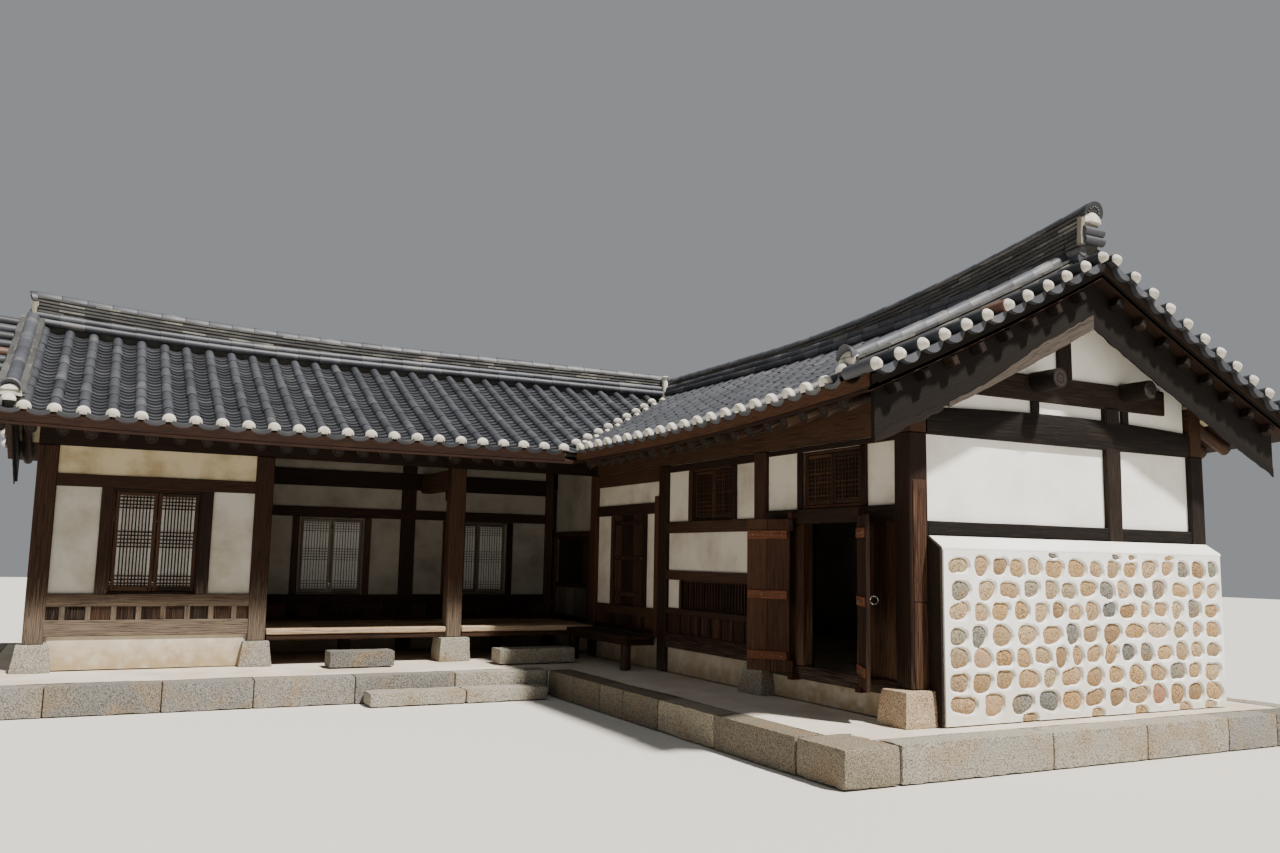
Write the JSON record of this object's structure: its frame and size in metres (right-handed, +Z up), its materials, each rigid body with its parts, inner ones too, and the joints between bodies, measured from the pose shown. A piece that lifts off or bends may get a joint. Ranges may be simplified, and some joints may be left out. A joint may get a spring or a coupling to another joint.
{
  "type": "hanok house",
  "caption": "L-shaped single-storey hanok: timber frame with plaster panels, open wooden hall, studded stone gable wall and curved tiled roof on a granite platform.",
  "frame": {"origin": "inner corner of the L at yard level: the left wing's front line and the right wing's court line cross there, under the platform", "axes": "+X to the right along the left wing's front, +Y to the back of the house, +Z up"},
  "size_m": [14.19, 12.97, 5.86],
  "materials": {
    "timber": "dark oiled pine, weathered",
    "floor_boards": "worn bare pine",
    "packed_earth": "matt earth",
    "lime_plaster": "matt trowelled plaster",
    "studded_stone_wall": "field stones in white mortar",
    "granite": "pick-dressed granite",
    "window_paper": "mulberry paper behind wooden lattice",
    "roof_tile": "smoke-fired clay"
  },
  "bodies": {
    "house": {"frame_left_bay": "timber", "hall_post": "timber", "hall_cross_beam": "timber", "frame_recess": "timber", "frame_court_near_hall": "timber", "frame_court_middle": "timber", "frame_court_door": "timber", "frame_gable": "timber", "roof_frame_left_wing": "timber", "roof_frame_right_wing": "timber", "bargeboards_gable": "timber", "bargeboards_left_end": "timber", "plank_wall_left_of_door": "timber", "plank_wall_right_of_door": "timber", "hall_side_door": "timber", "plank_door": "timber", "window_court_middle": "timber", "slat_window": "timber", "window_over_door": "timber", "hall_floor": "floor_boards", "side_bench": "floor_boards", "room_floor": "packed_earth", "plaster_left_bay": "lime_plaster", "plaster_recess": "lime_plaster", "hall_side_wall_left": "lime_plaster", "hall_side_wall_right": "lime_plaster", "plaster_court_near_hall": "lime_plaster", "plaster_court_middle": "lime_plaster", "plaster_over_door": "lime_plaster", "base_wall_door_bay": "lime_plaster", "plaster_gable": "lime_plaster", "back_wall": "lime_plaster", "right_side_wall": "lime_plaster", "left_end_wall": "lime_plaster", "stone_wall_gable": "studded_stone_wall", "platform_left_wing": "granite", "platform_right_wing": "granite", "yard_step": "granite", "hall_step_left": "granite", "hall_step_right": "granite", "window_left_bay": "window_paper", "window_recess_left": "window_paper", "window_recess_right": "window_paper", "window_back_left": "window_paper", "window_back_right": "window_paper", "window_right_side": "window_paper", "roof_left_wing": "roof_tile", "roof_right_wing": "roof_tile", "ridge_left_wing": "roof_tile", "ridge_right_wing": "roof_tile"},
    "left_leaf": {"door_leaf_left": "timber"},
    "right_leaf": {"door_leaf_right": "timber"}
  },
  "joints": [
    {"name": "left_leaf_hinge", "type": "hinge", "parent": "house", "child": "left_leaf", "pos_m": [-0.045, -5.45, 1.5], "axis": [0, 0, 1], "range_deg": [-15, 153]},
    {"name": "right_leaf_hinge", "type": "hinge", "parent": "house", "child": "right_leaf", "pos_m": [-0.045, -6.64, 1.5], "axis": [0, 0, -1], "range_deg": [-5, 149]}
  ]
}
